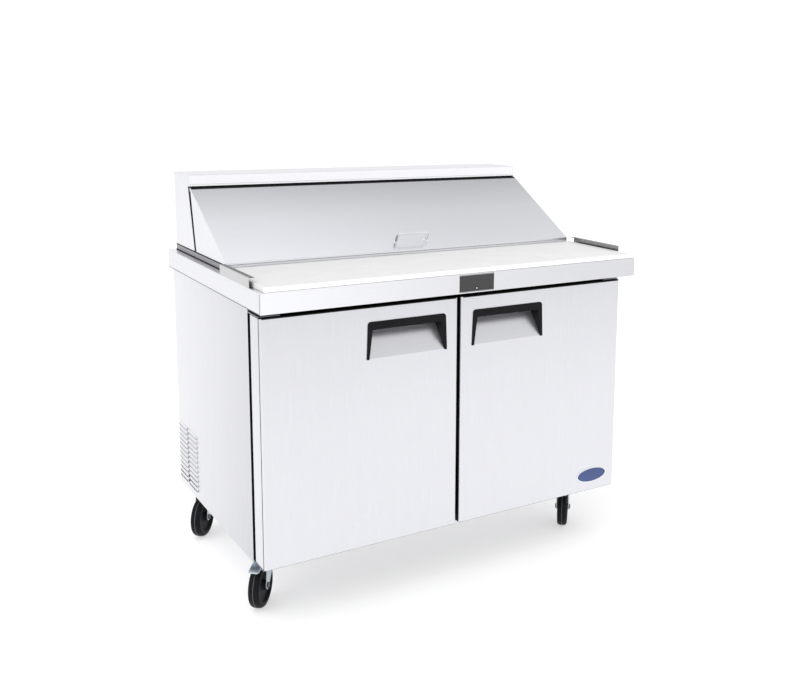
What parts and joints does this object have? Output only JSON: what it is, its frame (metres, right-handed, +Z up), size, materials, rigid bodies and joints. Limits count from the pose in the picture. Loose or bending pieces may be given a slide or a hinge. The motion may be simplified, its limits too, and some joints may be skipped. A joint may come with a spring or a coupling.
{
  "type": "sandwich prep table",
  "caption": "Refrigerated prep table on casters with hinged doors, a sloping lid over food pans, a rear hood and a front cutting board.",
  "frame": {"origin": "on the floor under the middle of the unit's overall box", "axes": "+X to the right seen from the front, +Y to the back, +Z up"},
  "size_m": [1.224, 0.832, 1.186],
  "materials": {
    "stainless": "satin brushed stainless sheet",
    "liner_metal": "plain mill-finish sheet",
    "pan_steel": "bright polished stainless",
    "foam": "closed-cell rigid foam",
    "black_paint": "black coated steel",
    "seal_rubber": "soft black magnetic seal",
    "white_board": "fine-textured white polyethylene",
    "black_plastic": "black moulded plastic, semi-gloss",
    "controller_grey": "dark grey plate, satin",
    "zinc": "bright zinc plating, a little blue",
    "shelf_coating": "epoxy-coated wire",
    "aluminium_fins": "stacked fins",
    "compressor_black": "black enamel",
    "copper": "drawn copper pipe",
    "caster_tread": "black moulded tread"
  },
  "bodies": {
    "cabinet": {"side_panel_left": "stainless", "side_panel_right": "stainless", "back_panel": "stainless", "front_frame": "stainless", "worktop": "stainless", "pan_collar": "stainless", "hood_ends": "stainless", "hood_top_cover": "stainless", "hood_back_panel": "stainless", "board_brackets": "stainless", "cabinet_liner": "liner_metal", "bottom_panel": "liner_metal", "food_pans": "pan_steel", "pan_divider_bars": "pan_steel", "lid_hinge_pins": "pan_steel", "cabinet_insulation": "foam", "worktop_insulation": "foam", "hood_insulation": "foam", "base_rails": "black_paint", "hood_gasket": "seal_rubber", "power_inlet_gland": "black_plastic", "controller_housing": "controller_grey", "door_hinge_brackets": "zinc", "caster_plates": "zinc", "fasteners": "zinc", "shelf_supports": "zinc", "wire_shelves": "shelf_coating", "evaporator_unit": "aluminium_fins", "condenser_coil": "aluminium_fins", "compressor": "compressor_black", "refrigerant_pipes": "copper", "fan_shroud": "zinc"},
    "door_left": {"door_left_shell": "stainless", "door_left_liner": "liner_metal", "door_left_insulation": "foam", "door_left_gasket": "seal_rubber", "door_left_handle": "black_plastic"},
    "door_right": {"door_right_shell": "stainless", "door_right_liner": "liner_metal", "door_right_insulation": "foam", "door_right_gasket": "seal_rubber", "door_right_handle": "black_plastic"},
    "lid": {"lid_top_panel": "stainless", "lid_ends": "stainless", "lid_insulation": "foam", "lid_handle": "pan_steel"},
    "board": {"cutting_board": "white_board"},
    "evaporator_rotor": {"evaporator_fan": "black_plastic"},
    "condenser_rotor": {"condenser_fan": "black_plastic"},
    "swivel_front_left": {"caster_fork_front_left": "zinc"},
    "wheel_front_left": {"caster_wheel_front_left": "caster_tread"},
    "brake_front_left": {"brake_pedal_front_left": "zinc"},
    "swivel_front_right": {"caster_fork_front_right": "zinc"},
    "wheel_front_right": {"caster_wheel_front_right": "caster_tread"},
    "brake_front_right": {"brake_pedal_front_right": "zinc"},
    "swivel_rear_left": {"caster_fork_rear_left": "zinc"},
    "wheel_rear_left": {"caster_wheel_rear_left": "caster_tread"},
    "swivel_rear_right": {"caster_fork_rear_right": "zinc"},
    "wheel_rear_right": {"caster_wheel_rear_right": "caster_tread"}
  },
  "joints": [
    {"name": "door_left_hinge", "type": "hinge", "parent": "cabinet", "child": "door_left", "pos_m": [-0.576, -0.346, 0.52], "axis": [0, 0, -1], "range_deg": [0, 110]},
    {"name": "door_right_hinge", "type": "hinge", "parent": "cabinet", "child": "door_right", "pos_m": [0.576, -0.346, 0.52], "axis": [0, 0, 1], "range_deg": [0, 110]},
    {"name": "lid_hinge", "type": "hinge", "parent": "cabinet", "child": "lid", "pos_m": [0, 0.23444, 1.14294], "axis": [-1, 0, 0], "range_deg": [0, 122]},
    {"name": "board_slide", "type": "slide", "parent": "cabinet", "child": "board", "axis": [0, -1, 0], "range_m": [0, 0.25]},
    {"name": "evaporator_fan_spin", "type": "hinge", "parent": "cabinet", "child": "evaporator_rotor", "pos_m": [0, 0.304, 0.72], "axis": [0, 1, 0], "continuous": true},
    {"name": "condenser_fan_spin", "type": "hinge", "parent": "cabinet", "child": "condenser_rotor", "pos_m": [-0.49, 0.313, 0.282], "axis": [1, 0, 0], "continuous": true},
    {"name": "swivel_front_left_turn", "type": "hinge", "parent": "cabinet", "child": "swivel_front_left", "pos_m": [-0.532, -0.187, 0.15], "axis": [0, 0, 1], "continuous": true},
    {"name": "wheel_front_left_roll", "type": "hinge", "parent": "swivel_front_left", "child": "wheel_front_left", "pos_m": [-0.55643, -0.21611, 0.0635], "axis": [-0.766, 0.6428, 0], "continuous": true},
    {"name": "brake_front_left_press", "type": "hinge", "parent": "swivel_front_left", "child": "brake_front_left", "pos_m": [-0.55321, -0.21228, 0.135], "axis": [0.766, -0.6428, 0], "range_deg": [0, 6]},
    {"name": "swivel_front_right_turn", "type": "hinge", "parent": "cabinet", "child": "swivel_front_right", "pos_m": [0.532, -0.187, 0.15], "axis": [0, 0, 1], "continuous": true},
    {"name": "wheel_front_right_roll", "type": "hinge", "parent": "swivel_front_right", "child": "wheel_front_right", "pos_m": [0.50757, -0.21611, 0.0635], "axis": [-0.766, 0.6428, 0], "continuous": true},
    {"name": "brake_front_right_press", "type": "hinge", "parent": "swivel_front_right", "child": "brake_front_right", "pos_m": [0.51079, -0.21228, 0.135], "axis": [0.766, -0.6428, 0], "range_deg": [0, 6]},
    {"name": "swivel_rear_left_turn", "type": "hinge", "parent": "cabinet", "child": "swivel_rear_left", "pos_m": [-0.532, 0.356, 0.15], "axis": [0, 0, 1], "continuous": true},
    {"name": "wheel_rear_left_roll", "type": "hinge", "parent": "swivel_rear_left", "child": "wheel_rear_left", "pos_m": [-0.55643, 0.32689, 0.0635], "axis": [-0.766, 0.6428, 0], "continuous": true},
    {"name": "swivel_rear_right_turn", "type": "hinge", "parent": "cabinet", "child": "swivel_rear_right", "pos_m": [0.532, 0.356, 0.15], "axis": [0, 0, 1], "continuous": true},
    {"name": "wheel_rear_right_roll", "type": "hinge", "parent": "swivel_rear_right", "child": "wheel_rear_right", "pos_m": [0.50757, 0.32689, 0.0635], "axis": [-0.766, 0.6428, 0], "continuous": true}
  ]
}
